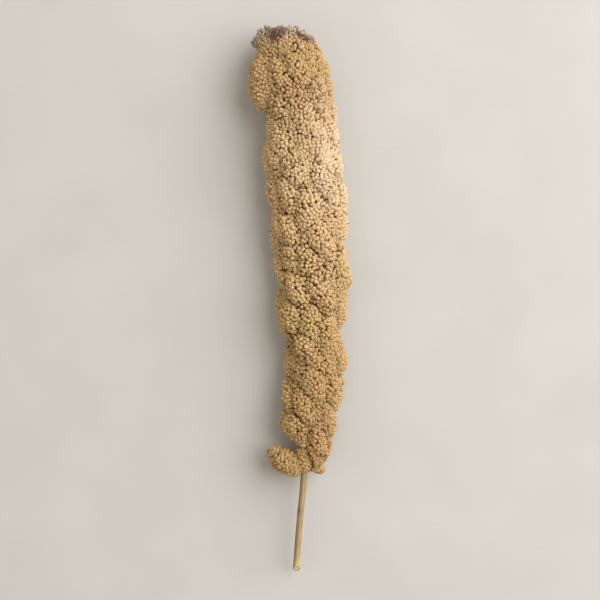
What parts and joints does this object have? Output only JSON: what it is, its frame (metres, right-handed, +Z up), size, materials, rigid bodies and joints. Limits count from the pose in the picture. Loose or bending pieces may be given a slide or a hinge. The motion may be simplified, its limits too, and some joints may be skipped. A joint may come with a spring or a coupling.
{
  "type": "foxtail millet head",
  "caption": "Dried foxtail millet head lying on its side: a dense, knobbly column of small grains with a blunt tip, on a short cut stem.",
  "frame": {"origin": "middle of the bounding box's bottom, on the floor that the head lies on", "axes": "+Y runs along the head from the cut stem to the tip, +X to the right across it seen from above, +Z up"},
  "size_m": [0.0394, 0.2082, 0.0247],
  "materials": {
    "dry_grain": "dry husked grain, matt",
    "straw_stem": "dry straw, dull satin"
  },
  "bodies": {
    "root": {"grain_head": "dry_grain", "stem": "straw_stem"}
  },
  "joints": []
}
